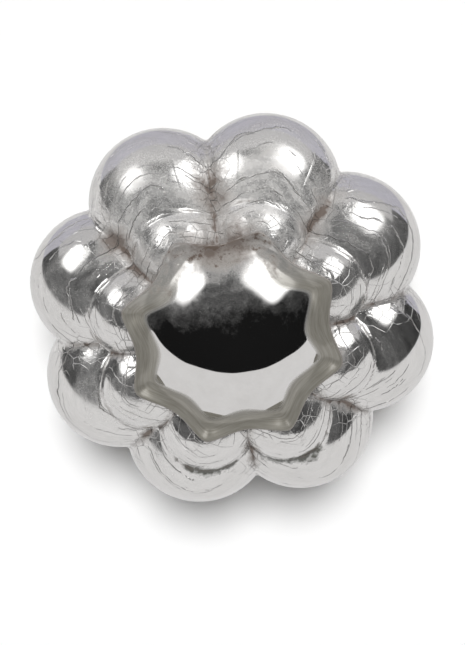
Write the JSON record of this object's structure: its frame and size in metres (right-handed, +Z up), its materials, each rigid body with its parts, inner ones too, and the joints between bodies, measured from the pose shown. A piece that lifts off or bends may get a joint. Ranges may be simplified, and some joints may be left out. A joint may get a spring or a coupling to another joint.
{
  "type": "lobed glass finial",
  "caption": "Lobed silvered-glass finial on a brass cup and socket that slips over a round pole and is held by a side thumb screw.",
  "frame": {"origin": "centre of the ferrule's mouth plane, where the pole enters", "axes": "+Z up the finial's axis, from the mouth to the top of the dome; +X through the set screw and one bulb"},
  "size_m": [0.08, 0.08, 0.0766],
  "materials": {
    "silvered_glass": "silvered on the inside, worn and polished",
    "silvering": "tarnished mirror",
    "cork": "cut cork",
    "wax": "sealing wax",
    "plaster": "matte plaster",
    "brass": "aged, polished",
    "brass_trim": "aged, polished",
    "leather": "plain",
    "steel": "turned"
  },
  "bodies": {
    "finial": {"glass_body": "silvered_glass", "silver_lining": "silvering", "neck_cork": "cork", "sealing_wax": "wax", "plaster_bed": "plaster", "brass_cup": "brass", "bead_ring": "brass_trim", "ferrule": "brass", "leather_washer": "leather", "cup_screw": "steel", "cup_nut": "steel"},
    "set_screw": {"set_screw": "brass_trim"}
  },
  "joints": [
    {"name": "set_screw_run", "type": "slide", "parent": "finial", "child": "set_screw", "axis": [-1, 0, 0], "range_m": [0, 0.003]}
  ]
}
